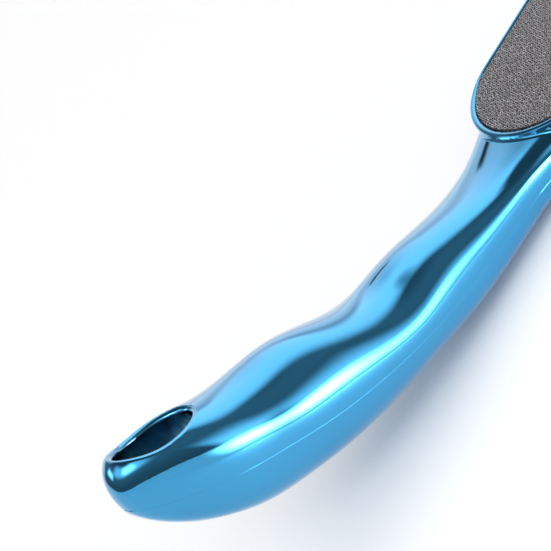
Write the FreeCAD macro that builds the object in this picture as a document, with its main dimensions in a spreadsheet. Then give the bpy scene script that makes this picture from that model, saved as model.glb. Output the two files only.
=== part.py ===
import FreeCAD, Part
import Sketcher
import math
import os

# Foot file in millimetres: it lies on the back sheet of its head, the front sheet faces +Z,
# the handle leaves the head towards -Y and bends up to a hanging hole in its tail.
# Origin: centre of the outer face of the back sheet.

doc = FreeCAD.newDocument("foot_file")
sheet = doc.addObject("Spreadsheet::Sheet", "sizes")

driving_sizes = (
    # head
    ("head_length", 124),
    ("head_width", 51),
    ("head_thickness", 18.5),
    ("head_draft", 5),
    ("rim_round", 0.8),
    # sheets in their recesses
    ("sheet_margin", 2.7),
    ("sheet_thickness", 0.5),
    ("sheet_proud", 0.25),
    ("sheet_gap", 0.3),
    ("film_thickness", 0.15),
    ("film_margin", 0.8),
    # handle, seen from above
    ("handle_length", 136),
    ("root_depth", 16),
    ("bend_start", 4.8),
    ("throat_distance", 8.8),
    ("neck_distance", 17.7),
    ("root_width", 45),
    ("flare_width", 31),
    ("throat_width", 26.6),
    ("neck_width", 25.6),
    ("grip_width", 31),
    ("heel_width", 28.4),
    # handle, seen from the side, measured from the parting line
    ("bend_rise", 42.5),
    ("joint_front", 6.9),
    ("throat_front", 7.4),
    ("neck_front", 8.9),
    ("first_crest", 14),
    ("first_hollow", 13.2),
    ("second_crest", 18.9),
    ("second_hollow", 17.4),
    ("tail_crest", 18.4),
    ("nose_front", 13),
    ("joint_back", 6.9),
    ("neck_back", 7.2),
    ("grip_back", 10.8),
    ("heel_back", 14),
    ("nose_flat", 1.6),
    ("joint_round", 1.2),
    # hanging hole
    ("waist_width", 13.2),
    ("waist_length", 18),
    ("mouth_width", 14.4),
    ("mouth_length", 20.8),
    ("lip_round", 1.2),
    # inside of the two halves
    ("wall", 1.6),
    ("rib_thickness", 1.4),
    ("boss_diameter", 7),
    ("pin_diameter", 3),
    ("pin_length", 4),
    ("pin_gap", 0.15),
    ("tongue_height", 1),
    ("tongue_thickness", 0.7),
    ("tongue_gap", 0.1),
    # reach of every cut past the face it leaves through, and the distance at which faces count as one
    ("overrun", 2),
    ("touch", 0.01),
)
for row, (alias, value) in enumerate(driving_sizes, start=1):
    sheet.set(f"A{row}", alias)
    sheet.set(f"B{row}", str(value))
    sheet.setAlias(f"B{row}", alias)
doc.recompute()


def size(alias):
    return float(sheet.get(alias))


# Stations along the handle, as shares of its length from the head's end to the tip.
root_share = -size("root_depth") / size("handle_length")
bend_share = size("bend_start") / size("handle_length")
throat_share = size("throat_distance") / size("handle_length")
neck_share = size("neck_distance") / size("handle_length")
first_crest_share = 0.33
first_hollow_share = 0.435
grip_share = 0.54
second_crest_share = 0.59
second_hollow_share = 0.746
heel_share = 0.765
hole_share = 0.876
tail_crest_share = 0.9
hollow_start_share = -0.06
nose_share = 1 - heel_share

# Places of bosses and ribs, along the head's length from its centre and along the handle.
head_boss_shares = (-0.3, 0.3)
handle_boss_shares = (0.2, 0.6)
head_rib_shares = (-0.15, 0, 0.15)
handle_rib_shares = (0.4,)

# How square the section's shoulders are: 0.55 is an ellipse, 1 is a box.
neck_fullness_share = 0.74
grip_fullness_share = 0.61
heel_fullness_share = 0.68
tail_fullness_share = 0.74

# Arm of a quarter curve that makes it an ellipse.
round_share = 0.5523

# How late each side of the nose rounds off towards the tip.
plan_power = 2.1
back_power = 2.2
front_power = 7

# Each strip of the skin is two cubic arcs across, smooth where they meet.
strip_degree = 3
strip_mults = [4, 2, 4]
strip_knots = [0, 1, 2]

# Numbers of sections along the grip, round the nose and along the hollow.
grip_steps = 15
nose_steps = 6
hollow_steps = 13

handle_start = -size("head_length") / 2
seam_height = size("head_thickness") / 2 + size("sheet_proud")
hollow_end_share = hole_share - (size("mouth_length") / 2 + size("wall")) / size("handle_length")

# Heights of the sheets' seats and insets of their outlines, as expressions of the sizes.
floor = "sizes.sheet_thickness + sizes.film_thickness"
front_floor = f"sizes.head_thickness + 2 * sizes.sheet_proud - ({floor})"
sheet_inset = "sizes.sheet_margin"
film_inset = "sizes.sheet_margin + sizes.film_margin"
recess_inset = "sizes.sheet_margin - sizes.sheet_gap"


def smooth_curve(points):
    places = [place for place, value in points]
    curve = Part.BSplineCurve()
    curve.interpolate(Points=[FreeCAD.Vector(place, value, 0) for place, value in points], Parameters=places)
    return curve


# Outlines of the handle along its length: from above, front, back, and the squareness of its section.
half_width_curve = smooth_curve((
    (root_share, size("root_width") / 2),
    (0, size("flare_width") / 2),
    (throat_share, size("throat_width") / 2),
    (neck_share, size("neck_width") / 2),
    (grip_share, size("grip_width") / 2),
    (heel_share, size("heel_width") / 2),
))
front_curve = smooth_curve((
    (root_share, size("joint_front")),
    (0, size("joint_front")),
    (throat_share, size("throat_front")),
    (neck_share, size("neck_front")),
    (first_crest_share, size("first_crest")),
    (first_hollow_share, size("first_hollow")),
    (second_crest_share, size("second_crest")),
    (second_hollow_share, size("second_hollow")),
    (tail_crest_share, size("tail_crest")),
    (1, size("nose_front")),
))
back_curve = smooth_curve((
    (root_share, size("joint_back")),
    (0, size("joint_back")),
    (neck_share, size("neck_back")),
    (grip_share, size("grip_back")),
    (heel_share, size("heel_back")),
    (1, size("heel_back")),
))
fullness_curve = smooth_curve((
    (root_share, neck_fullness_share),
    (neck_share, neck_fullness_share),
    (grip_share, grip_fullness_share),
    (heel_share, heel_fullness_share),
    (1, tail_fullness_share),
))


def station_y(share):
    return handle_start - share * size("handle_length")


def seam_z(share):
    # The parting line runs straight through the head and climbs the handle as a parabola.
    bend = max(0, share - bend_share) / (1 - bend_share)
    return seam_height + size("bend_rise") * bend ** 2


def seam_slope(share):
    # Climb of the parting line per length along the handle.
    bend = max(0, share - bend_share) / (1 - bend_share)
    return 2 * size("bend_rise") * bend / (1 - bend_share) / size("handle_length")


waist_height = seam_z(hole_share)
body_top = seam_z(1) + size("second_crest")


def rounding(share, power):
    travel = max(0, share - heel_share) / nose_share
    return math.sqrt(1 - travel ** power)


def front_rise(share):
    return front_curve.value(share).y * rounding(share, front_power)


def back_drop(share):
    return back_curve.value(share).y * rounding(share, back_power)


def half_width(share):
    return half_width_curve.value(min(share, heel_share)).y * rounding(share, plan_power)


def quarter(share, side, reach, rise, lift):
    # A quarter of the section, cut at its middle: the poles on towards the seam and towards the crown.
    place = FreeCAD.Vector(0, station_y(share), seam_z(share))
    seam = place + FreeCAD.Vector(side * reach, 0, 0)
    seam_arm = place + FreeCAD.Vector(side * reach, 0, lift)
    crown_arm = place + FreeCAD.Vector(side * reach * fullness_curve.value(share).y, 0, rise)
    crown = place + FreeCAD.Vector(0, 0, rise)
    return {
        "middle": (seam + seam_arm * 3 + crown_arm * 3 + crown) / 8,
        "seam": [(seam + seam_arm * 2 + crown_arm) / 4, (seam + seam_arm) / 2],
        "crown": [(seam_arm + crown_arm * 2 + crown) / 4, (crown_arm + crown) / 2],
    }


def strip_poles(first, second, meeting):
    # Poles of a smooth curve from the middle of one quarter to the middle of the next, over their meeting point.
    return [first["middle"], *first[meeting], *reversed(second[meeting]), second["middle"]]


def section(share, inset):
    # Poles of the four strips of the skin at one station of the handle.
    reach = half_width(share) - inset
    front = front_rise(share) - inset
    back = back_drop(share) - inset
    lift = fullness_curve.value(share).y * (front + back) / 2
    front_right = quarter(share, 1, reach, front, lift)
    front_left = quarter(share, -1, reach, front, lift)
    back_left = quarter(share, -1, reach, -back, -lift)
    back_right = quarter(share, 1, reach, -back, -lift)
    return [
        strip_poles(front_right, front_left, "crown"),
        strip_poles(front_left, back_left, "seam"),
        strip_poles(back_left, back_right, "crown"),
        strip_poles(back_right, front_right, "seam"),
    ]


def end_face(strips):
    # Flat face that closes the handle at one of its end stations.
    edges = []
    for poles in strips:
        curve = Part.BSplineCurve()
        curve.buildFromPolesMultsKnots(poles, strip_mults, strip_knots, False, strip_degree)
        edges.append(curve.toShape())
    return Part.Face(Part.Wire(edges))


def strip_face(stations, places):
    # Smooth face along one strip: each of its poles follows a smooth curve of its own through the stations.
    tracks = []
    for points in zip(*stations):
        track = Part.BSplineCurve()
        track.interpolate(Points=list(points), Parameters=places)
        tracks.append(track)
    surface = Part.BSplineSurface()
    surface.buildFromPolesMultsKnots(
        [track.getPoles() for track in tracks], strip_mults, tracks[0].getMultiplicities(),
        strip_knots, tracks[0].getKnots(), False, False, strip_degree, tracks[0].Degree,
    )
    return surface.toShape()


def spread(first, last, steps):
    return [first + (last - first) * step / steps for step in range(steps + 1)]


def feature(name, shape):
    result = doc.addObject("Part::Feature", name)
    result.Shape = shape
    return result


def handle_form(name, shares, inset):
    # Solid of the handle, an inset inside its outer skin, with its stations spaced by how far the skin runs.
    sections = [section(share, inset) for share in shares]
    places = [0]
    for here, ahead in zip(sections, sections[1:]):
        runs = [pole.distanceToPoint(mate) for one, two in zip(here, ahead) for pole, mate in zip(one, two)]
        places.append(places[-1] + sum(runs) / len(runs))
    skin = [strip_face(strip, places) for strip in zip(*sections)]
    shell = Part.makeCompound([*skin, end_face(sections[0]), end_face(sections[-1])])
    shell.sewShape()
    return feature(name, Part.makeSolid(shell.Shells[0]))


def slot_sketch(body, name, length, width, height):
    # Stadium along Y, centred on the origin, at a height above the rest face.
    plane = next(item for item in body.Origin.OriginFeatures if item.Role == "XY_Plane")
    sketch = body.newObject("Sketcher::SketchObject", name)
    sketch.AttachmentSupport = [(plane, "")]
    sketch.MapMode = "FlatFace"
    sketch.setExpression("AttachmentOffset.Base.z", height)
    radius = size("head_width") / 2
    reach = size("head_length") / 2 - radius
    up = FreeCAD.Vector(0, 0, 1)
    far = FreeCAD.Vector(0, reach, 0)
    near = FreeCAD.Vector(0, -reach, 0)
    side = FreeCAD.Vector(radius, 0, 0)
    right = sketch.addGeometry(Part.LineSegment(near + side, far + side))
    top = sketch.addGeometry(Part.ArcOfCircle(Part.Circle(far, up, radius), 0, math.pi))
    left = sketch.addGeometry(Part.LineSegment(far - side, near - side))
    bottom = sketch.addGeometry(Part.ArcOfCircle(Part.Circle(near, up, radius), math.pi, 2 * math.pi))
    for first, first_end, second, second_end in (
        (right, 2, top, 1), (top, 2, left, 1), (left, 2, bottom, 1), (bottom, 2, right, 1),
    ):
        sketch.addConstraint(Sketcher.Constraint("Tangent", first, first_end, second, second_end))
    sketch.addConstraint(Sketcher.Constraint("Vertical", right))
    sketch.addConstraint(Sketcher.Constraint("PointOnObject", top, 3, -2))
    sketch.addConstraint(Sketcher.Constraint("Symmetric", top, 3, bottom, 3, -1, 1))
    round_end = sketch.addConstraint(Sketcher.Constraint("Radius", top, radius))
    straight = sketch.addConstraint(Sketcher.Constraint("DistanceY", bottom, 3, top, 3, 2 * reach))
    sketch.setExpression(f"Constraints[{round_end}]", f"({width}) / 2")
    sketch.setExpression(f"Constraints[{straight}]", f"({length}) - ({width})")
    return sketch


def slot_body(name, inset, height, thickness):
    # Stadium block whose outline lies a given inset inside the head's outline.
    body = doc.addObject("PartDesign::Body", name)
    body.Label = name
    length = f"sizes.head_length - 2 * ({inset})"
    width = f"sizes.head_width - 2 * ({inset})"
    sketch = slot_sketch(body, name + "_outline", length, width, height)
    pad = body.newObject("PartDesign::Pad", name + "_block")
    pad.Profile = sketch
    pad.setExpression("Length", thickness)
    doc.recompute()
    return body


def head_half(name, down):
    # Half of the head: a stadium that drafts in from the parting line to a rounded rim.
    body = doc.addObject("PartDesign::Body", name)
    pad = body.newObject("PartDesign::Pad", name + "_block")
    pad.Profile = slot_sketch(
        body, name + "_outline", "sizes.head_length", "sizes.head_width",
        "sizes.head_thickness / 2 + sizes.sheet_proud",
    )
    pad.Reversed = down
    pad.setExpression("Length", "sizes.head_thickness / 2")
    pad.setExpression("TaperAngle", "-sizes.head_draft")
    doc.recompute()
    rim = [
        f"Edge{index}" for index, edge in enumerate(pad.Shape.Edges, start=1)
        if min(abs(vertex.Z - seam_height) for vertex in edge.Vertexes) > size("touch")
    ]
    fillet = body.newObject("PartDesign::Fillet", name + "_rim")
    fillet.Base = (pad, rim)
    fillet.setExpression("Radius", "sizes.rim_round")
    doc.recompute()
    return body


def combine(kind, name, *shapes):
    result = doc.addObject("Part::" + kind, name)
    if kind == "MultiFuse":
        result.Shapes = shapes
    else:
        result.Base, result.Tool = shapes
    doc.recompute()
    return result


def rounded(name, base, edges, radius):
    result = doc.addObject("Part::Fillet", name)
    result.Base = base
    result.Edges = [(index, radius, radius) for index in edges]
    doc.recompute()
    return result


def edges_between(shape, is_first, is_second):
    # Numbers of the edges where a face of one kind meets a face of the other kind.
    found = []
    for index, edge in enumerate(shape.Edges, start=1):
        faces = shape.ancestorsOfType(edge, Part.Face)
        if len(faces) != 2:
            continue
        first, second = faces
        if (is_first(first) and is_second(second)) or (is_first(second) and is_second(first)):
            found.append(index)
    return found


def is_skin(face):
    return isinstance(face.Surface, Part.BSplineSurface)


def is_head_wall(face):
    return isinstance(face.Surface, Part.Cone)


def hole_outline(level, widening):
    # Oval round the hole's axis at a level over its waist, in a plane along the parting line there.
    centre = FreeCAD.Vector(0, station_y(hole_share), waist_height + level)
    side_reach = (size("waist_width") + (size("mouth_width") - size("waist_width")) * widening) / 2
    end_reach = (size("waist_length") + (size("mouth_length") - size("waist_length")) * widening) / 2
    across = FreeCAD.Vector(side_reach, 0, 0)
    along = FreeCAD.Vector(0, end_reach, -seam_slope(hole_share) * end_reach)
    edges = []
    for first, second in ((across, along), (along, -across), (-across, -along), (-along, across)):
        curve = Part.BezierCurve()
        arms = [first + second * round_share, first * round_share + second]
        curve.setPoles([centre + arm for arm in (first, *arms, second)])
        edges.append(curve.toShape())
    return Part.Wire(edges)


def hole_half(name, mouth_level):
    # Half of the hanging hole: it widens from just before its waist to well past its mouth.
    start = -math.copysign(size("overrun"), mouth_level)
    end = 2 * mouth_level
    outlines = [hole_outline(level, level / mouth_level) for level in (start, end)]
    return feature(name, Part.makeLoft(outlines, True, True))


def lies_on(edge, faces):
    # Whether the ends and the middle of an edge lie on any of the faces.
    middle = edge.valueAt((edge.FirstParameter + edge.LastParameter) / 2)
    spots = [Part.Vertex(middle), *edge.Vertexes]
    return all(min(face.distToShape(spot)[0] for face in faces) < size("touch") for spot in spots)


def above_parting(name, drop):
    # Everything over the parting line, lowered by a drop, as a profile in the YZ plane drawn across the part.
    side = size("head_width") / 2 + size("overrun")
    far = size("head_length") / 2 + size("overrun")
    past_share = 1 + size("overrun") / size("handle_length")
    start = FreeCAD.Vector(-side, station_y(bend_share), seam_z(0) - drop)
    end = FreeCAD.Vector(-side, station_y(past_share), seam_z(past_share) - drop)
    turn = FreeCAD.Vector(-side, (start.y + end.y) / 2, start.z)
    top = seam_z(past_share) + size("second_crest")
    head_end = FreeCAD.Vector(-side, far, start.z)
    climb = Part.BezierCurve()
    climb.setPoles([start, turn, end])
    outline = Part.Wire([
        Part.makeLine(head_end, start),
        climb.toShape(),
        Part.makeLine(end, FreeCAD.Vector(-side, end.y, top)),
        Part.makeLine(FreeCAD.Vector(-side, end.y, top), FreeCAD.Vector(-side, far, top)),
        Part.makeLine(FreeCAD.Vector(-side, far, top), head_end),
    ])
    return feature(name, Part.Face(outline).extrude(FreeCAD.Vector(2 * side, 0, 0)))


def post(name, y, bottom, top, diameter):
    # Upright round boss, pin or socket on the mid line; its diameter is an expression of the sizes.
    result = doc.addObject("Part::Cylinder", name)
    result.setExpression("Radius", f"({diameter}) / 2")
    result.Height = top - bottom
    result.Placement.Base = FreeCAD.Vector(0, y, bottom)
    return result


def cross_rib(name, y):
    # Plate across the whole inside of the body.
    rib = doc.addObject("Part::Box", name)
    rib.setExpression("Length", "sizes.head_width")
    rib.setExpression("Width", "sizes.rib_thickness")
    rib.Height = body_top
    rib.Placement.Base = FreeCAD.Vector(-size("head_width") / 2, y - size("rib_thickness") / 2, 0)
    return rib


def inner_form(name, *laps):
    # Inner form of the head and the handle, a wall inside their outer faces, less the laps in that wall.
    depth = size("wall") - sum(size(lap) for lap in laps)
    inset = " - ".join(["sizes.wall", *(f"sizes.{lap}" for lap in laps)])
    end_share = hollow_end_share + (size("wall") - depth) / size("handle_length")
    handle_part = handle_form(name + "_handle", spread(hollow_start_share, end_share, hollow_steps), depth)
    head_part = slot_body(
        name + "_head", f"{inset} + sizes.rim_round", f"{floor} + sizes.wall",
        f"{front_floor} - sizes.wall - ({floor} + sizes.wall)",
    )
    return combine("Fuse", name, head_part, handle_part)


def lap_ring(name, drop, *laps):
    # Band in the inner half of the wall, all round the hollow, from the parting line down by a drop.
    ring = combine("Cut", name + "_ring", inner_form(name + "_form", *laps), hollow)
    lowered = combine("Common", name + "_lowered", ring, above_parting(name + "_floor", drop))
    return combine("Cut", name, lowered, front_side)


def outer_half(side, handle_part, hole_part):
    # One moulding's outer form: half of the head and of the handle with a rounded step between them,
    # half of the hanging hole with a rounded lip, and the recess for a sheet.
    head = head_half(side + "_head", side == "back")
    form = combine("Fuse", side + "_joined", head, handle_part)
    step = edges_between(form.Shape, is_skin, is_head_wall)
    form = rounded(side + "_stepped", form, step, size("joint_round"))
    form = combine("Cut", side + "_holed", form, hole_part)
    walls = [face for face in hole_part.Shape.Faces if not isinstance(face.Surface, Part.Plane)]
    lip = [
        index for index, edge in enumerate(form.Shape.Edges, start=1)
        if lies_on(edge, walls) and not lies_on(edge, front_side.Shape.Faces)
    ]
    form = rounded(side + "_lipped", form, lip, size("lip_round"))
    recess = slot_body(side + "_recess", recess_inset, "0" if side == "back" else front_floor, floor)
    return combine("Cut", side + "_outer", form, recess)


# Outer forms of the two halves, split at the parting line.
last_turn = math.acos(size("nose_flat") / size("heel_width"))
nose_shares = [heel_share + nose_share * math.sin(turn) for turn in spread(0, last_turn, nose_steps)]
handle = handle_form("handle_skin", spread(root_share, heel_share, grip_steps) + nose_shares[1:], 0)
front_side = above_parting("front_side", 0)
hole_front = hole_half("hole_front", front_rise(hole_share))
hole_back = hole_half("hole_back", -back_drop(hole_share))
front_outer = outer_half("front", combine("Common", "front_handle", handle, front_side), hole_front)
back_outer = outer_half("back", combine("Cut", "back_handle", handle, front_side), hole_back)

# Sheets and their adhesive films.
back_sheet = slot_body("back_abrasive_sheet", sheet_inset, "0", "sizes.sheet_thickness")
back_film = slot_body("back_adhesive_film", film_inset, "sizes.sheet_thickness", "sizes.film_thickness")
front_film = slot_body("front_adhesive_film", film_inset, front_floor, "sizes.film_thickness")
front_sheet = slot_body(
    "front_abrasive_sheet", sheet_inset, f"{front_floor} + sizes.film_thickness", "sizes.sheet_thickness"
)

# Hollow inside both halves, left standing at cross ribs and round bosses.
hollow = inner_form("hollow")
boss_spots = [(share * size("head_length"), seam_height) for share in head_boss_shares]
boss_spots += [(station_y(share), seam_z(share)) for share in handle_boss_shares]
rib_places = [share * size("head_length") for share in head_rib_shares]
rib_places += [station_y(share) for share in handle_rib_shares]
bosses = [
    post(f"boss_{index}", y, 0, body_top, "sizes.boss_diameter")
    for index, (y, seam) in enumerate(boss_spots)
]
ribs = [cross_rib(f"rib_{index}", y) for index, y in enumerate(rib_places)]
stiffeners = combine("MultiFuse", "stiffeners", *bosses, *ribs)
open_hollow = combine("Cut", "open_hollow", hollow, stiffeners)
front_half = combine("Cut", "front_half", front_outer, open_hollow)
back_half = combine("Cut", "back_half", back_outer, open_hollow)

# Pins and a tongue on the front half, sockets and a groove in the back one.
pins = [
    post(f"pin_{index}", y, seam - size("pin_length"), seam + size("pin_length"), "sizes.pin_diameter")
    for index, (y, seam) in enumerate(boss_spots)
]
sockets = [
    post(
        f"socket_{index}", y, seam - size("pin_length") - size("pin_gap"), seam + size("pin_length"),
        "sizes.pin_diameter + 2 * sizes.pin_gap",
    )
    for index, (y, seam) in enumerate(boss_spots)
]
tongue = lap_ring("tongue", size("tongue_height"), "tongue_thickness")
groove = lap_ring("groove", size("tongue_height") + size("tongue_gap"), "tongue_thickness", "tongue_gap")
front_tongued = combine("Fuse", "front_tongued", front_half, tongue)
front_shell = combine("MultiFuse", "front_shell", front_tongued, *pins)
back_tools = combine("MultiFuse", "back_tools", groove, *sockets)
back_shell = combine("Cut", "back_shell", back_half, back_tools)

pieces = (front_shell, back_shell, front_sheet, back_sheet, front_film, back_film)
doc.recompute()
for item in doc.Objects:
    if "Invalid" in item.State or "Error" in item.State:
        raise RuntimeError(f"{item.Name} failed: {item.State}")
for piece in pieces:
    if piece.Shape.isNull() or not piece.Shape.isValid() or len(piece.Shape.Solids) != 1:
        raise RuntimeError(f"{piece.Label} is not one sound solid")
os.makedirs("parts", exist_ok=True)
for piece in pieces:
    piece.Shape.exportStep(f"parts/{piece.Label}.step")
    print(piece.Label, round(piece.Shape.Volume), "mm3")
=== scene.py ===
import bpy, math
import numpy as np
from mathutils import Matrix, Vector


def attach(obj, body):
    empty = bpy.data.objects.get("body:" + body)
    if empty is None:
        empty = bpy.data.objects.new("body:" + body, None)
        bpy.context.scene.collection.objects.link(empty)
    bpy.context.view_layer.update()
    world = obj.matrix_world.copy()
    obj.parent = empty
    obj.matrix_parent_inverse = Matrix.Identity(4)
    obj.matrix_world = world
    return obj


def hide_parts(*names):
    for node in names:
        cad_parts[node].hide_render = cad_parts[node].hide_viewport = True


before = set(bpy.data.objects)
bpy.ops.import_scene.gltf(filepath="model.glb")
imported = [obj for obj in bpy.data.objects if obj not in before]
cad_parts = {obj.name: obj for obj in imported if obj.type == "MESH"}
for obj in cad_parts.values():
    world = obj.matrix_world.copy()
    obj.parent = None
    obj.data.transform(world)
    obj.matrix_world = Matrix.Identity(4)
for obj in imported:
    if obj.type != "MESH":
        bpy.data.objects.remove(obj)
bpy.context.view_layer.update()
mm = 0.001  # the frame is in metres, the sizes below are in millimetres
bpy.ops.object.select_all(action='DESELECT')
print("frame loaded:", ", ".join(sorted(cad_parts)))


# helpers for objects and meshes

def activate(obj):
    bpy.ops.object.select_all(action='DESELECT')
    obj.select_set(True)
    bpy.context.view_layer.objects.active = obj


def places(mesh):
    return np.array([v.co for v in mesh.vertices]) / mm


def setPlaces(mesh, points):
    mesh.vertices.foreach_set("co", (points * mm).ravel())
    mesh.update()


def pick(obj, kind, wanted):
    # select just these vertices, edges or faces, and stay in edit mode
    activate(obj)
    bpy.ops.object.mode_set(mode='EDIT')
    bpy.ops.mesh.select_mode(type=kind)
    bpy.ops.mesh.select_all(action='DESELECT')
    bpy.ops.object.mode_set(mode='OBJECT')
    items = {"VERT": obj.data.vertices, "EDGE": obj.data.edges, "FACE": obj.data.polygons}[kind]
    items.foreach_set("select", wanted)
    bpy.ops.object.mode_set(mode='EDIT')


def ease(x):
    x = np.clip(x, 0, 1)
    return x * x * (3 - 2 * x)


def gradient(value, points, step=0.01):
    ways = np.eye(3) * step
    return np.stack([value(points + way) - value(points - way) for way in ways], -1) / (2 * step)


# helpers for node trees

def newMaterial(name):
    mat = bpy.data.materials.new(name)
    mat.use_nodes = True
    return mat, mat.node_tree, mat.node_tree.nodes["Principled BSDF"]


def addNode(tree, kind, inputs=None, **settings):
    node = tree.nodes.new(kind)
    for key, value in settings.items():
        setattr(node, key, value)
    for key, value in (inputs or {}).items():
        if hasattr(value, "is_linked"):
            tree.links.new(value, node.inputs[key])
        else:
            node.inputs[key].default_value = value
    return node


# these give the socket that comes out

def objectPlace(tree):
    return addNode(tree, "ShaderNodeTexCoord").outputs["Object"]


def addMath(tree, operation, *values):
    return addNode(tree, "ShaderNodeMath", dict(enumerate(values)), operation=operation).outputs[0]


def addVector(tree, operation, *values):
    node = addNode(tree, "ShaderNodeVectorMath", dict(enumerate(values)), operation=operation)
    return node.outputs["Value" if operation in ('LENGTH', 'DOT_PRODUCT') else "Vector"]


def addNoise(tree, way, scale, detail, rough=0.5):
    inputs = {"Vector": way, "Scale": scale, "Detail": detail, "Roughness": rough}
    return addNode(tree, "ShaderNodeTexNoise", inputs).outputs[0]


def remap(tree, value, span, new=(0, 1), kind='LINEAR'):
    inputs = {0: value, 1: span[0], 2: span[1], 3: new[0], 4: new[1]}
    return addNode(tree, "ShaderNodeMapRange", inputs, interpolation_type=kind).outputs[0]


def mixTones(tree, share, first, second):
    return addNode(tree, "ShaderNodeMix", {0: share, 6: first, 7: second}, data_type='RGBA').outputs[2]


def addBump(tree, height, bump, under=None, invert=False):
    # a bump is its strength and its depth in millimetres
    inputs = {"Strength": bump[0], "Distance": bump[1] * mm, "Height": height}
    if under is not None:
        inputs["Normal"] = under
    return addNode(tree, "ShaderNodeBump", inputs, invert=invert).outputs[0]


# camera, at the viewing angle of the close-up
cameraSetup = {
    "place": (0.49292, -0.35524, 0.35270), "turn": (51.959, 38.057, 39.844),
    "lens": 174.86, "sensor": 36,
}

camData = bpy.data.cameras.new("camera")
camData.lens = cameraSetup["lens"]
camData.sensor_width = cameraSetup["sensor"]
cam = bpy.data.objects.new("camera", camData)
cam.location = cameraSetup["place"]
cam.rotation_euler = [math.radians(t) for t in cameraSetup["turn"]]
bpy.context.scene.collection.objects.link(cam)
bpy.context.scene.camera = cam
print("camera placed")


# the handle's own skin, for exact smooth normals on the plated shells
# each curve is a list of distances from the head and sizes there
grip = {
    "start": -62.0, "length": 136.0, "seam": 9.5, "rise": 42.5, "bend": 4.8,
    "heel": 0.765, "rootDepth": 16.0, "heelWidth": 28.4, "noseFlat": 1.6,
    "gripSteps": 15, "noseSteps": 6,
    "halfWidth": ((-16, 22.5), (0, 15.5), (8.8, 13.3), (17.7, 12.8), (73.44, 15.5), (104.04, 14.2)),
    "front": ((-16, 6.9), (0, 6.9), (8.8, 7.4), (17.7, 8.9), (44.88, 14.0), (59.16, 13.2),
              (80.24, 18.9), (101.456, 17.4), (122.4, 18.4), (136, 13.0)),
    "back": ((-16, 6.9), (0, 6.9), (17.7, 7.2), (73.44, 10.8), (104.04, 14.0), (136, 14.0)),
    "fullness": ((-16, 0.74), (17.7, 0.74), (73.44, 0.61), (104.04, 0.68), (136, 0.74)),
    "planPower": 2.1, "backPower": 2.2, "frontPower": 7.0,
}
head = {"halfWidth": 25.5, "reach": 36.5}
# the hole's half sizes at its waist, and how much they grow to each mouth
hangingHole = {"share": 0.876, "waist": (6.6, 9.0), "growth": (0.6, 1.4)}
# how finely the skin is searched, and how near its seam and crown the normals are taken
skinSearch = {
    "samples": 6000, "halvings": 40, "tip": 0.99999, "endGap": 0.01, "edgeShare": 0.0005,
    "alongStep": 0.004, "aroundStep": 2e-4, "slopeStep": 1e-4,
}


def throughPoints(points):
    # smooth curve through the points, with end slopes taken from the four points at each end
    x = np.array([p[0] for p in points], float)
    y = np.array([p[1] for p in points], float)
    n = len(x)
    first = np.polyfit(x[:4] - x[0], y[:4], min(3, n - 1))
    last = np.polyfit(x[-4:] - x[-1], y[-4:], min(3, n - 1))
    h = np.diff(x)
    a = np.zeros((n, n))
    b = np.zeros(n)
    a[0, 0] = a[-1, -1] = 1
    b[0], b[-1] = first[-2], last[-2]
    for i in range(1, n - 1):
        a[i, i - 1], a[i, i], a[i, i + 1] = 1 / h[i - 1], 2 / h[i - 1] + 2 / h[i], 1 / h[i]
        b[i] = 3 * ((y[i] - y[i - 1]) / h[i - 1] ** 2 + (y[i + 1] - y[i]) / h[i] ** 2)
    slope = np.linalg.solve(a, b)

    def value(at):
        at = np.clip(at, x[0], x[-1])
        i = np.clip(np.searchsorted(x, at) - 1, 0, n - 2)
        t = (at - x[i]) / h[i]
        return ((2 * t ** 3 - 3 * t ** 2 + 1) * y[i] + (t ** 3 - 2 * t ** 2 + t) * h[i] * slope[i]
                + (3 * t ** 2 - 2 * t ** 3) * y[i + 1] + (t ** 3 - t ** 2) * h[i] * slope[i + 1])
    return value


gripCurve = {key: throughPoints(grip[key]) for key in ("halfWidth", "front", "back", "fullness")}


def gripShare(points):
    # how far along the handle each point is, 0 at the head and 1 at the tip
    return np.maximum((grip["start"] - points[:, 1]) / grip["length"], 0)


def seamHeight(share):
    start = grip["bend"] / grip["length"]
    return grip["seam"] + grip["rise"] * (np.maximum(0, share - start) / (1 - start)) ** 2


def noseRound(share, power):
    travel = np.clip((share - grip["heel"]) / (1 - grip["heel"]), 0, skinSearch["tip"])
    return np.sqrt(1 - travel ** power)


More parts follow.
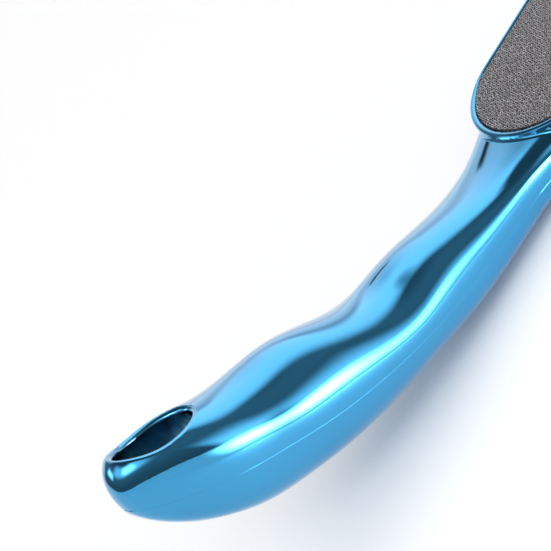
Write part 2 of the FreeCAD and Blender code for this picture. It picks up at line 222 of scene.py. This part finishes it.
def gripStations():
    # sizes of the grip's section at its stations, and where they lie along the skin
    root = -grip["rootDepth"] / grip["length"]
    lastTurn = math.acos(grip["noseFlat"] / grip["heelWidth"])
    turns = np.arange(1, grip["noseSteps"] + 1) / grip["noseSteps"] * lastTurn
    share = np.concatenate([
        root + (grip["heel"] - root) * np.arange(grip["gripSteps"] + 1) / grip["gripSteps"],
        grip["heel"] + (1 - grip["heel"]) * np.sin(turns)])
    at = share * grip["length"]
    reach = gripCurve["halfWidth"](np.minimum(at, grip["heel"] * grip["length"]))
    reach = reach * noseRound(share, grip["planPower"])
    front = gripCurve["front"](at) * noseRound(share, grip["frontPower"])
    back = gripCurve["back"](at) * noseRound(share, grip["backPower"])
    full = gripCurve["fullness"](at)
    size = {"y": grip["start"] - at, "seam": seamHeight(share), "reach": reach, "crownArm": reach * full,
            "lift": full * (front + back) / 2, "front": front, "back": back}
    runs = []
    for rise, sign in ((front, 1), (-back, -1)):
        seam = np.stack([reach, size["y"], size["seam"]], -1)
        seamArm = np.stack([reach, size["y"], size["seam"] + sign * size["lift"]], -1)
        crownArm = np.stack([size["crownArm"], size["y"], size["seam"] + rise], -1)
        crown = np.stack([0 * reach, size["y"], size["seam"] + rise], -1)
        middle = (seam + 3 * seamArm + 3 * crownArm + crown) / 8
        poles = (middle, middle, (seam + 2 * seamArm + crownArm) / 4, (seam + seamArm) / 2,
                 (seamArm + 2 * crownArm + crown) / 4, (crownArm + crown) / 2)
        runs += [np.linalg.norm(np.diff(pole, axis=0), axis=1) for pole in poles]
    place = np.concatenate([[0], np.cumsum(np.mean(runs, axis=0))])
    return place, {key: throughPoints(list(zip(place, value))) for key, value in size.items()}


gripPlace, gripSize = gripStations()
finePlace = np.linspace(gripPlace[0], gripPlace[-1], skinSearch["samples"])
fineDepth = -gripSize["y"](finePlace)


def skinPoint(place, t, side, upper):
    # point of the grip's skin at a place along it, t from the seam (0) to the crown (1)
    rise = np.where(upper, gripSize["front"](place), -gripSize["back"](place))
    lift = np.where(upper, 1, -1) * gripSize["lift"](place)
    reach = gripSize["reach"](place)
    s = 1 - t
    x = side * (reach * (s ** 3 + 3 * s ** 2 * t) + gripSize["crownArm"](place) * 3 * s * t ** 2)
    z = 3 * s ** 2 * t * lift + (3 * s * t ** 2 + t ** 3) * rise
    return np.stack([x, gripSize["y"](place), gripSize["seam"](place) + z], -1), reach, rise


def skinNormals(points):
    # exact normal of the grip's skin next to each point, and how far away the skin is
    gap, edge = skinSearch["endGap"], skinSearch["edgeShare"]
    place = np.interp(-points[:, 1], fineDepth, finePlace)
    place = np.clip(place, gripPlace[0] + gap, gripPlace[-1] - gap)
    side = np.where(points[:, 0] < 0, -1.0, 1.0)
    seam = gripSize["seam"](place)
    high = points[:, 2] - seam
    upper = high >= 0
    _, reach, rise = skinPoint(place, np.zeros_like(place), side, upper)
    wanted = np.arctan2(np.abs(high) / np.abs(rise), np.abs(points[:, 0]) / reach)
    lo, hi = np.zeros_like(place), np.ones_like(place)
    for _ in range(skinSearch["halvings"]):
        mid = (lo + hi) / 2
        p = skinPoint(place, mid, side, upper)[0]
        angle = np.arctan2(np.abs((p[:, 2] - seam) / rise), np.abs(p[:, 0]) / reach)
        lo, hi = np.where(angle < wanted, mid, lo), np.where(angle < wanted, hi, mid)
    t = np.clip((lo + hi) / 2, edge, 1 - edge)
    away = np.linalg.norm(skinPoint(place, (lo + hi) / 2, side, upper)[0] - points, axis=1)
    ds, dt = skinSearch["alongStep"], skinSearch["aroundStep"]
    along = skinPoint(place + ds, t, side, upper)[0] - skinPoint(place - ds, t, side, upper)[0]
    around = skinPoint(place, t + dt, side, upper)[0] - skinPoint(place, t - dt, side, upper)[0]
    normal = np.cross(along, around)
    outward = np.stack([points[:, 0], np.zeros_like(high), high], -1)
    normal *= np.sign((normal * outward).sum(1))[:, None]
    return normal / np.maximum(np.linalg.norm(normal, axis=1), 1e-12)[:, None], away


def headDistance(points):
    # distance from the head's stadium outline at the parting line
    far = np.maximum(np.abs(points[:, 1]) - head["reach"], 0)
    return np.hypot(points[:, 0], far) - head["halfWidth"]


def holeNormals(points):
    # exact normal of the hanging hole's wall next to each point, and how far away the wall is
    centre = grip["start"] - hangingHole["share"] * grip["length"]
    share = np.array([hangingHole["share"]])
    step = skinSearch["slopeStep"]
    climb = float(seamHeight(share + step)[0] - seamHeight(share - step)[0])
    slope = climb / (2 * step * grip["length"])
    middle = float(seamHeight(share)[0])
    front = gripCurve["front"](share * grip["length"]) * noseRound(share, grip["frontPower"])
    back = -gripCurve["back"](share * grip["length"]) * noseRound(share, grip["backPower"])
    (wide, long), (wideGrowth, longGrowth) = hangingHole["waist"], hangingHole["growth"]

    def oval(p):
        level = p[:, 2] - middle + slope * (p[:, 1] - centre)
        mouth = np.where(level > 0, level / front[0], level / back[0])
        across = p[:, 0] / (wide + wideGrowth * mouth)
        return across ** 2 + ((p[:, 1] - centre) / (long + longGrowth * mouth)) ** 2

    way = gradient(oval, points)
    length = np.maximum(np.linalg.norm(way, axis=1), 1e-9)
    return -way / length[:, None], np.abs(oval(points) - 1) / length


# the two plated shells
shellLook = {
    "merge": 0.002, "sharpAngle": 34,
    # the softened seam: what counts as on it, and the chamfer's start and run-in along the grip
    "seamBevel": {"front_shell": 0.06, "back_shell": 0.12}, "seamDrop": 0.32,
    "onSeam": 0.03, "onHead": 0.06, "onGrip": 0.12, "gripFrom": -50, "sharpDot": 0.6,
    "chamferFrom": -66, "chamferRun": 10, "onSkin": 0.03,
    # what gets exact normals, with less room next to the head's fillet
    "skinGap": 0.06, "filletGap": 0.02, "filletReach": 2.2, "skinDot": 0.85,
    "holeGap": 0.06, "holeDot": 0.9,
}
# the front of the neck: how far and where it swells, and where its faces are made finer
neck = {
    "rise": 1.2, "rimTop": 18.75, "top": 16.7, "crownShare": 0.75,
    "end": -98, "endRun": 32, "start": -44, "startRun": 10, "clear": -66, "clearRun": 4,
    "skinGap": 0.35, "underHead": 1.6, "fineEnd": -100, "fineReach": 2.2, "overSeam": 0.3, "cuts": 2,
}


def neckSwell(points):
    # how far the front of the neck swells up to meet the rim of the head
    y, z = points[:, 1], points[:, 2]
    share = gripShare(points)
    over = (z - seamHeight(share)) / (neck["crownShare"] * gripCurve["front"](share * grip["length"]))
    near = ease((y - neck["end"]) / neck["endRun"]) * ease((neck["start"] - y) / neck["startRun"])
    room = ease((neck["rimTop"] - z) / (neck["rimTop"] - neck["top"]))
    room = room + (1 - room) * ease((neck["clear"] - y) / neck["clearRun"])
    return neck["rise"] * near * ease(over) * room


def onNeck(points, away):
    close = (away < neck["skinGap"]) | (headDistance(points) > -neck["underHead"])
    return (points[:, 1] < neck["start"]) & close


def mergedCopy(name, node):
    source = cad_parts[node]
    piece = source.copy()
    piece.data = source.data.copy()
    piece.name = piece.data.name = name
    piece.parent = None
    for key in list(piece.keys()):
        del piece[key]
    bpy.context.scene.collection.objects.link(piece)
    activate(piece)
    bpy.ops.object.mode_set(mode='EDIT')
    bpy.ops.mesh.select_all(action='SELECT')
    bpy.ops.mesh.remove_doubles(threshold=shellLook["merge"] * mm)
    bpy.ops.object.mode_set(mode='OBJECT')
    return piece


def softenSeam(piece, node):
    # bevel the outer edge along the parting line
    mesh = piece.data
    co = places(mesh)
    onSeam = np.abs(co[:, 2] - seamHeight(gripShare(co))) < shellLook["onSeam"]
    onGrip = (skinNormals(co)[1] < shellLook["onGrip"]) & (co[:, 1] < shellLook["gripFrom"])
    mark = onSeam & (onGrip | (np.abs(headDistance(co)) < shellLook["onHead"]))
    facesAt = {}
    for poly in mesh.polygons:
        for key in poly.edge_keys:
            facesAt.setdefault(key, []).append(poly.normal)
    chosen = []
    for edge in mesh.edges:
        sides = facesAt.get(edge.key, [])
        marked = all(mark[v] for v in edge.vertices) and len(sides) == 2
        chosen.append(marked and sides[0].dot(sides[1]) < shellLook["sharpDot"])
    bevel = shellLook["seamBevel"][node]
    pick(piece, 'EDGE', chosen)
    bpy.ops.mesh.bevel(offset=bevel * mm, segments=1, affect='EDGES')
    bpy.ops.object.mode_set(mode='OBJECT')
    print(piece.name, "seam edges softened:", sum(chosen))
    if node == "back_shell":
        # along the grip it becomes a shallow chamfer that catches the light
        co = places(mesh)
        under = seamHeight(gripShare(co)) - co[:, 2]
        row = (under > bevel / 2) & (under < bevel * 2) & (skinNormals(co)[1] < shellLook["onSkin"])
        runIn = ease((shellLook["chamferFrom"] - co[row, 1]) / shellLook["chamferRun"])
        co[row, 2] -= shellLook["seamDrop"] * runIn
        setPlaces(mesh, co)


def swellNeck(piece):
    # finer faces on the front of the neck, raised towards the head's rim, with the normals tilted to suit
    mesh = piece.data
    co = places(mesh)
    fine = onNeck(co, skinNormals(co)[1]) & (co[:, 1] > neck["fineEnd"])
    fine &= (headDistance(co) > neck["fineReach"]) & (co[:, 2] > grip["seam"] + neck["overSeam"])
    pick(piece, 'FACE', [all(fine[v] for v in face.vertices) for face in mesh.polygons])
    bpy.ops.mesh.subdivide(number_cuts=neck["cuts"])
    bpy.ops.object.mode_set(mode='OBJECT')
    co = places(mesh)
    normal, away = skinNormals(co)
    raised = np.where(onNeck(co, away), neckSwell(co), 0)
    lean = gradient(neckSwell, co)
    tilted = normal - lean * (normal[:, 2] / (1 + lean[:, 2]))[:, None]
    tilted /= np.linalg.norm(tilted, axis=1)[:, None]
    setPlaces(mesh, co + np.stack([0 * raised, 0 * raised, raised], -1))
    return co, np.where((raised > 0)[:, None], tilted, normal), away


def setNormals(piece, co, normal, away):
    # smooth everywhere but at sharp edges, with the exact normals on the grip's skin and in the hole
    mesh = piece.data
    activate(piece)
    bpy.ops.object.shade_smooth_by_angle(angle=math.radians(shellLook["sharpAngle"]))
    corner = np.array([n.vector[:] for n in mesh.corner_normals])
    owner = np.array([loop.vertex_index for loop in mesh.loops])
    faceNormal = np.zeros((len(owner), 3))
    for poly in mesh.polygons:
        faceNormal[poly.loop_start:poly.loop_start + poly.loop_total] = poly.normal
    besideHead = headDistance(co) < shellLook["filletReach"]
    close = away < np.where(besideHead, shellLook["filletGap"], shellLook["skinGap"])
    exact = close[owner] & ((normal[owner] * faceNormal).sum(1) > shellLook["skinDot"])
    corner[exact] = normal[owner][exact]
    wall, gap = holeNormals(co)
    inHole = (gap[owner] < shellLook["holeGap"]) & ~exact
    inHole &= (wall[owner] * faceNormal).sum(1) > shellLook["holeDot"]
    corner[inHole] = wall[owner][inHole]
    mesh.normals_split_custom_set([tuple(n) for n in corner])
    print(piece.name, "corners with exact normals:", exact.sum() + inHole.sum(), "of", len(owner))


def platedShell(name, node):
    piece = mergedCopy(name, node)
    softenSeam(piece, node)
    if node == "front_shell":
        co, normal, away = swellNeck(piece)
    else:
        co = places(piece.data)
        normal, away = skinNormals(co)
    setNormals(piece, co, normal, away)
    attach(piece, "root")
    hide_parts(node)
    return piece


frontShell = platedShell("frontBody", "front_shell")
backShell = platedShell("backBody", "back_shell")


# fine marks that handling and moulding leave, shared by all the materials
markLook = {
    "smudge": {"scale": 55, "detail": 5, "rough": 0.55},
    "ripple": {"scale": 160, "detail": 1},
    "grain": {"scale": 2600, "detail": 4, "rough": 0.65},
    "scratch": {"scale": 2400, "detail": 1},
    "scratchTurn": (0.1, 0.2, 0.35), "scratchStretch": (1, 0.03, 1),
    "scratchThin": (0.735, 0.78), "scratchWhere": (0.5, 0.62),
}


def markGroup():
    tree = bpy.data.node_groups.new("surfaceMarks", 'ShaderNodeTree')
    for name in ("Smudge", "Ripple", "Grain", "Scratch"):
        tree.interface.new_socket(name, in_out='OUTPUT', socket_type='NodeSocketFloat')
    size = tree.interface.new_socket("Fineness", in_out='INPUT', socket_type='NodeSocketFloat')
    size.default_value = 1
    fineness = addNode(tree, "NodeGroupInput").outputs["Fineness"]
    scaled = {0: objectPlace(tree), "Scale": fineness}
    way = addNode(tree, "ShaderNodeVectorMath", scaled, operation='SCALE').outputs[0]
    smudge = addNoise(tree, way, **markLook["smudge"])
    ripple = addNoise(tree, way, **markLook["ripple"])
    grain = addNoise(tree, way, **markLook["grain"])
    # scratches are stretched noise cut to thin lines, only where there are smudges
    turned = addNode(tree, "ShaderNodeMapping", {
        "Vector": way, "Rotation": markLook["scratchTurn"], "Scale": markLook["scratchStretch"]})
    lines = addNoise(tree, turned.outputs[0], **markLook["scratch"])
    thin = remap(tree, lines, markLook["scratchThin"])
    scratch = addMath(tree, 'MULTIPLY', thin, remap(tree, smudge, markLook["scratchWhere"]))
    addNode(tree, "NodeGroupOutput", {"Smudge": smudge, "Ripple": ripple, "Grain": grain, "Scratch": scratch})
    return tree


marks = markGroup()


def addMarks(tree, fineness):
    node = tree.nodes.new("ShaderNodeGroup")
    node.node_tree = marks
    node.inputs["Fineness"].default_value = fineness
    return node.outputs


# blue plating of the two shells
plating = {
    # thin is the greyer tone painted inside the hanging hole as its shade
    "deep": (0.026, 0.295, 0.570, 1), "bright": (0.031, 0.325, 0.625, 1), "thin": (0.150, 0.300, 0.380, 1),
    "fineness": 1.0, "smudges": (0.35, 0.75), "rough": (0.035, 0.085), "scratched": 0.10, "dull": 0.12,
    "holeReach": (7.3, 10.5), "holeFade": (1.02, 0.93), "coat": 0.8, "coatRough": 0.03,
    # strength and depth of each bump
    "waves": (0.015, 0.6), "grain": (0.05, 0.01), "nicks": (0.10, 0.02),
}


def bluePlating():
    mat, tree, bsdf = newMaterial("bluePlating")
    mark = addMarks(tree, plating["fineness"])
    tone = mixTones(tree, mark["Smudge"], plating["deep"], plating["bright"])
    # inside the hanging hole the base colour turns to a greyer tone, a painted shade of the hole's interior,
    # and the plating is rougher there
    centre = (0, (grip["start"] - hangingHole["share"] * grip["length"]) * mm, 0)
    spot = addVector(tree, 'SUBTRACT', objectPlace(tree), centre)
    wide, long = plating["holeReach"]
    spot = addVector(tree, 'MULTIPLY', spot, (1 / (wide * mm), 1 / (long * mm), 0))
    inside = remap(tree, addVector(tree, 'LENGTH', spot), plating["holeFade"])
    tree.links.new(mixTones(tree, inside, tone, plating["thin"]), bsdf.inputs["Base Color"])
    rough = remap(tree, mark["Smudge"], plating["smudges"], plating["rough"])
    rough = addMath(tree, 'MULTIPLY_ADD', mark["Scratch"], plating["scratched"], rough)
    rough = addMath(tree, 'MULTIPLY_ADD', inside, plating["dull"], rough)
    tree.links.new(rough, bsdf.inputs["Roughness"])
    waves = addBump(tree, mark["Ripple"], plating["waves"])
    fine = addBump(tree, mark["Grain"], plating["grain"], waves)
    nicks = addBump(tree, mark["Scratch"], plating["nicks"], fine, invert=True)
    tree.links.new(nicks, bsdf.inputs["Normal"])
    bsdf.inputs["Metallic"].default_value = 1
    bsdf.inputs["Coat Weight"].default_value = plating["coat"]
    bsdf.inputs["Coat Roughness"].default_value = plating["coatRough"]
    return mat


blue = bluePlating()
for shell in (frontShell, backShell):
    shell.data.materials.clear()
    shell.data.materials.append(blue)
print("plating done")


# abrasive plates: a thin stadium of steel with rows of short slanted ridges
plate = {
    "radius": 22.8, "reach": head["reach"], "top": 19.0, "ridge": 0.25, "base": 0.25, "sides": 160,
    "long": 0.96, "wide": 0.36, "crest": (0.62, 0.26), "slant": 56, "sunk": 0.03,
    "column": 0.82, "row": 0.63, "margin": 0.12, "trim": 0.06, "uneven": 0.06, "crestGap": 0.02, "seed": 11,
}


def oneRidge(x, y, slant):
    # a small hipped roof, its foot sunk a little into the plate
    high = plate["ridge"] + plate["sunk"]
    bpy.ops.mesh.primitive_cube_add(size=1)
    ridge = bpy.context.object
    ridge.scale = (plate["wide"] * mm, plate["long"] * mm, high * mm)
    ridge.rotation_euler = (0, 0, math.radians(slant))
    ridge.location = (x * mm, y * mm, (plate["top"] - high / 2) * mm)
    pick(ridge, 'FACE', [face.normal.z > 0.5 for face in ridge.data.polygons])
    crestLong, crestWide = plate["crest"]
    bpy.ops.transform.resize(value=(crestWide, crestLong, 1), orient_type='LOCAL')
    bpy.ops.object.mode_set(mode='OBJECT')
    bpy.ops.object.transform_apply(location=True, rotation=True, scale=True)
    return ridge


def repeat(obj, count, step):
    activate(obj)
    bpy.ops.object.modifier_add(type='ARRAY')
    rows = obj.modifiers[-1]
    rows.count = count
    rows.use_relative_offset = False
    rows.use_constant_offset = True
    rows.constant_offset_displace = [s * mm for s in step]
    bpy.ops.object.modifier_apply(modifier=rows.name)


def join(pieces):
    # the others go into the first piece
    bpy.ops.object.select_all(action='DESELECT')
    for piece in pieces:
        piece.select_set(True)
    bpy.context.view_layer.objects.active = pieces[0]
    bpy.ops.object.join()
    return bpy.context.object


def fromAxis(points):
    # nearest point on the line between the centres of the plate's round ends, and the distance to it
    middle = points * (0, 1, 1)
    middle[:, 1] = np.clip(middle[:, 1], -plate["reach"], plate["reach"])
    return middle, np.linalg.norm(points - middle, axis=1)


def ridgeField():
    columns = int(plate["radius"] / plate["column"]) + 1
    rows = int((plate["radius"] + plate["reach"]) / plate["row"]) + 1
    left, near = -columns * plate["column"], -rows * plate["row"]
    cell = []
    for i in (0, 1):
        for j in (0, 1):
            slant = plate["slant"] * (1 if (i + j) % 2 else -1)
            cell.append(oneRidge(left + i * plate["column"], near + (j + 0.5 * i) * plate["row"], slant))
    corners = len(cell[0].data.vertices)
    ridges = join(cell)
    repeat(ridges, columns + 1, (2 * plate["column"], 0, 0))
    repeat(ridges, rows + 1, (0, 2 * plate["row"], 0))

    # drop the ridges whose middle is past the margin, and make the rest uneven
    middles = places(ridges.data).reshape(-1, corners, 3).mean(1)
    past = fromAxis(middles)[1] > plate["radius"] - plate["margin"]
    pick(ridges, 'VERT', np.repeat(past, corners))
    bpy.ops.mesh.delete(type='VERT')
    bpy.ops.object.mode_set(mode='OBJECT')
    pick(ridges, 'VERT', places(ridges.data)[:, 2] < plate["top"] - plate["crestGap"])
    bpy.ops.transform.vertex_random(offset=plate["uneven"] * mm, uniform=1, normal=0, seed=plate["seed"])
    bpy.ops.object.mode_set(mode='OBJECT')

    # the outermost ridges end at the plate's edge
    co = places(ridges.data)
    middle, far = fromAxis(co)
    kept = np.minimum(far, plate["radius"] - plate["trim"]) / np.maximum(far, 1e-9)
    setPlaces(ridges.data, middle + (co - middle) * kept[:, None])
    print("ridges on a plate:", len(co) // corners)
    return ridges


def abrasivePlate():
    ridges = ridgeField()
    low = plate["top"] - plate["ridge"] - plate["base"] / 2
    bpy.ops.mesh.primitive_cylinder_add(
        vertices=plate["sides"], radius=plate["radius"] * mm, depth=plate["base"] * mm,
        location=(0, 0, low * mm), rotation=(0, 0, math.pi / plate["sides"]))
    sheet = bpy.context.object
    bpy.ops.object.transform_apply(location=True, rotation=True, scale=True)
    for side in (1, -1):
        pick(sheet, 'VERT', places(sheet.data)[:, 1] * side > 0)
        bpy.ops.transform.translate(value=(0, side * plate["reach"] * mm, 0))
        bpy.ops.object.mode_set(mode='OBJECT')
    return join((sheet, ridges))


frontPlate = abrasivePlate()
frontPlate.name = frontPlate.data.name = "frontPlate"
activate(frontPlate)
bpy.ops.object.duplicate()
backPlate = bpy.context.object
backPlate.name = backPlate.data.name = "backPlate"
backPlate.rotation_euler = (0, math.pi, 0)
backPlate.location = (0, 0, plate["top"] * mm)
bpy.ops.object.transform_apply(location=True, rotation=True, scale=True)

# colours by height on a ridge, painted shade on the floor and a painted highlight on the crests, with grit
# added, and the ends of the roughness
steelLook = {
    "paintedShadeFloor": (0.05, (0.085, 0.083, 0.087, 1)), "flank": (0.5, (0.31, 0.303, 0.312, 1)),
    "paintedHighlightCrest": (1.0, (0.74, 0.725, 0.74, 1)),
    "fineness": 0.9, "height": 0.8, "grit": 3.0, "rough": (0.62, 0.30), "bump": (0.45, 0.06), "metal": 0.9,
}


def etchedSteel():
    # painted light by height: bright crests as a painted highlight, grey flanks, and a nearly black floor as
    # painted shade
    mat, tree, bsdf = newMaterial("etchedSteel")
    mark = addMarks(tree, steelLook["fineness"])
    split = addNode(tree, "ShaderNodeSeparateXYZ", {0: objectPlace(tree)})
    crown = plate["top"] / 2 * mm
    out = addMath(tree, 'ABSOLUTE', addMath(tree, 'SUBTRACT', split.outputs[2], crown))
    height = remap(tree, out, (crown - plate["ridge"] * mm, crown))
    grit = addMath(tree, 'MULTIPLY_ADD', mark["Grain"], steelLook["grit"], -steelLook["grit"] / 2)
    level = addMath(tree, 'MULTIPLY_ADD', height, steelLook["height"], grit)
    # the ramp paints shade on the floor between ridges and a highlight on the crests
    ramp = addNode(tree, "ShaderNodeValToRGB", {0: level})
    stops = ramp.color_ramp.elements
    stops[0].position, stops[0].color = steelLook["paintedShadeFloor"]
    stops[1].position, stops[1].color = steelLook["paintedHighlightCrest"]
    stops.new(steelLook["flank"][0]).color = steelLook["flank"][1]
    tree.links.new(ramp.outputs[0], bsdf.inputs["Base Color"])
    tree.links.new(remap(tree, level, (0, 1), steelLook["rough"]), bsdf.inputs["Roughness"])
    tree.links.new(addBump(tree, mark["Grain"], steelLook["bump"]), bsdf.inputs["Normal"])
    bsdf.inputs["Metallic"].default_value = steelLook["metal"]
    return mat


steel = etchedSteel()
for piece, node in ((frontPlate, "front_abrasive_sheet"), (backPlate, "back_abrasive_sheet")):
    piece.data.materials.clear()
    piece.data.materials.append(steel)
    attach(piece, "root")
    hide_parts(node)
print("plates done")


# adhesive films under the plates
filmLook = {
    "dark": (0.60, 0.57, 0.48, 1), "pale": (0.72, 0.70, 0.62, 1),
    "fineness": 1.4, "grain": (0.3, 0.7), "rough": (0.35, 0.6), "bump": (0.3, 0.03),
}


def adhesiveFilm():
    mat, tree, bsdf = newMaterial("adhesiveFilm")
    mark = addMarks(tree, filmLook["fineness"])
    tone = mixTones(tree, mark["Smudge"], filmLook["dark"], filmLook["pale"])
    tree.links.new(tone, bsdf.inputs["Base Color"])
    tree.links.new(remap(tree, mark["Grain"], filmLook["grain"], filmLook["rough"]), bsdf.inputs["Roughness"])
    tree.links.new(addBump(tree, mark["Grain"], filmLook["bump"]), bsdf.inputs["Normal"])
    return mat


film = adhesiveFilm()
for node in ("front_adhesive_film", "back_adhesive_film"):
    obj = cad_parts[node]
    obj.data.materials.clear()
    obj.data.materials.append(film)
print("films done")


# floor, its size and fade in metres
studioFloor = {
    "size": 16, "below": 0.2 * mm, "fade": (0.32, 0.95),
    "colour": (0.93, 0.93, 0.935, 1), "rough": 0.9, "gloss": 0.1,
}


def paleFloor():
    # plain near the object, where its shadow falls, and white towards the horizon
    mat, tree, bsdf = newMaterial("paleFloor")
    bsdf.inputs["Base Color"].default_value = studioFloor["colour"]
    bsdf.inputs["Roughness"].default_value = studioFloor["rough"]
    bsdf.inputs["Specular IOR Level"].default_value = studioFloor["gloss"]
    far = addVector(tree, 'LENGTH', objectPlace(tree))
    fade = remap(tree, far, studioFloor["fade"], kind='SMOOTHSTEP')
    path = addNode(tree, "ShaderNodeLightPath").outputs
    seen = addMath(tree, 'MAXIMUM', path["Is Camera Ray"], path["Is Glossy Ray"])
    seen = addMath(tree, 'MAXIMUM', seen, path["Is Transmission Ray"])
    share = addMath(tree, 'MULTIPLY', fade, seen)
    white = addNode(tree, "ShaderNodeEmission", {"Color": (1, 1, 1, 1), "Strength": 1}).outputs[0]
    mix = addNode(tree, "ShaderNodeMixShader", {0: share, 1: bsdf.outputs[0], 2: white})
    tree.links.new(mix.outputs[0], tree.nodes["Material Output"].inputs["Surface"])
    return mat


bpy.ops.mesh.primitive_plane_add(size=studioFloor["size"], location=(0, 0, -studioFloor["below"]))
floor = bpy.context.object
floor.name = "floor"
floor.data.materials.append(paleFloor())

# soft panels of light and shade round the studio, by azimuth from +X and height in degrees
studio = {
    "haze": ((0, 0.14), (14, 0.20), (26, 0.27), (36, 0.27), (50, 0.16), (60, 0.12), (90, 0.09)),
    "panels": (
        # azimuth, half width, edge, low, high, edge, level
        (-62, 62, 20, 33, 60, 8, 1.5),
        (-52, 3, 32, 39, 54, 10, 5.5),
        (-140, 2, 16, 25, 29, 10, 8.0),
        (135, 60, 9, -8, 13, 7, 1.20),
        (150, 14, 8, 8, 34, 7, 1.00),
        (112, 24, 17, 16, 54, 4.5, 1.85),
        (151, 3.5, 2.5, 18.5, 22.5, 1.5, 0.04),
        (44, 16, 6, -20, 13, 10, 2.0),
    ),
    "leastHalf": 0.5,
}


def studioWorld():
    world = bpy.data.worlds.new("studio")
    bpy.context.scene.world = world
    world.use_nodes = True
    tree = world.node_tree
    way = addNode(tree, "ShaderNodeTexCoord").outputs["Generated"]
    flat = addVector(tree, 'NORMALIZE', addVector(tree, 'MULTIPLY', way, (1, 1, 0)))
    height = addMath(tree, 'ARCSINE', addNode(tree, "ShaderNodeSeparateXYZ", {0: way}).outputs[2])
    ramp = addNode(tree, "ShaderNodeValToRGB", {0: remap(tree, height, (0, math.pi / 2))})
    stops = ramp.color_ramp.elements
    while len(stops) > 1:
        stops.remove(stops[0])
    for k, (deg, level) in enumerate(studio["haze"]):
        stop = stops[0] if k == 0 else stops.new(deg / 90)
        stop.position = deg / 90
        stop.color = (level, level, level, 1)
    light = ramp.outputs[0]
    for azimuth, half, edge, low, high, lift, level in studio["panels"]:
        a = math.radians(azimuth)
        toward = addVector(tree, 'DOT_PRODUCT', flat, (math.cos(a), math.sin(a), 0))
        inner = max(half - edge, studio["leastHalf"])
        above = remap(tree, height, np.radians((low - lift, low + lift)), kind='SMOOTHSTEP')
        below = remap(tree, height, np.radians((high + lift, high - lift)), kind='SMOOTHSTEP')
        across = remap(tree, toward, np.cos(np.radians((half + edge, inner))), kind='SMOOTHSTEP')
        mask = addMath(tree, 'MULTIPLY', addMath(tree, 'MULTIPLY', above, below), across)
        light = mixTones(tree, mask, light, (level, level, level, 1))
    tree.links.new(light, tree.nodes["Background"].inputs["Color"])
    tree.nodes["Background"].inputs["Strength"].default_value = 1


studioWorld()

# lamps, in metres; fading is how steeply one falls off along its length and height
lamps = {
    "overhead": {"place": (0.5, -0.45, 2.0), "aim": (0, -0.07, 0), "size": (4.0, 4.0), "watts": 33,
                 "mirrored": False, "fading": None},
    "lowStrip": {"place": (0.160, -0.070, 0.0270), "aim": (0.012, -0.135, 0.0270), "size": (0.19, 0.056),
                 "watts": 0.56, "mirrored": True, "fading": (3.0, 2.0)},
}


def softbox(name, lamp):
    light = bpy.data.lights.new(name, 'AREA')
    light.shape = 'RECTANGLE'
    light.size, light.size_y = lamp["size"]
    light.energy = lamp["watts"]
    obj = bpy.data.objects.new(name, light)
    obj.location = lamp["place"]
    obj.rotation_euler = (Vector(lamp["aim"]) - obj.location).to_track_quat('-Z', 'Y').to_euler()
    obj.visible_glossy = lamp["mirrored"]
    obj.visible_camera = False
    bpy.context.scene.collection.objects.link(obj)
    if lamp["fading"]:
        # 4 s (1 - s) is brightest in the middle and fades out to the edges
        light.use_nodes = True
        tree = light.node_tree
        spot = addNode(tree, "ShaderNodeNewGeometry").outputs["Parametric"]
        spot = addNode(tree, "ShaderNodeSeparateXYZ", {0: spot}).outputs
        shares = []
        for axis, steep in enumerate(lamp["fading"]):
            near = addMath(tree, 'MULTIPLY', spot[axis], addMath(tree, 'SUBTRACT', 1.0, spot[axis]))
            shares.append(addMath(tree, 'POWER', addMath(tree, 'MULTIPLY', near, 4.0), steep))
        tree.links.new(addMath(tree, 'MULTIPLY', *shares), tree.nodes["Emission"].inputs["Strength"])


for name, lamp in lamps.items():
    softbox(name, lamp)
print("floor, world and lamps done")

scene = bpy.context.scene
scene.view_settings.view_transform = 'Standard'
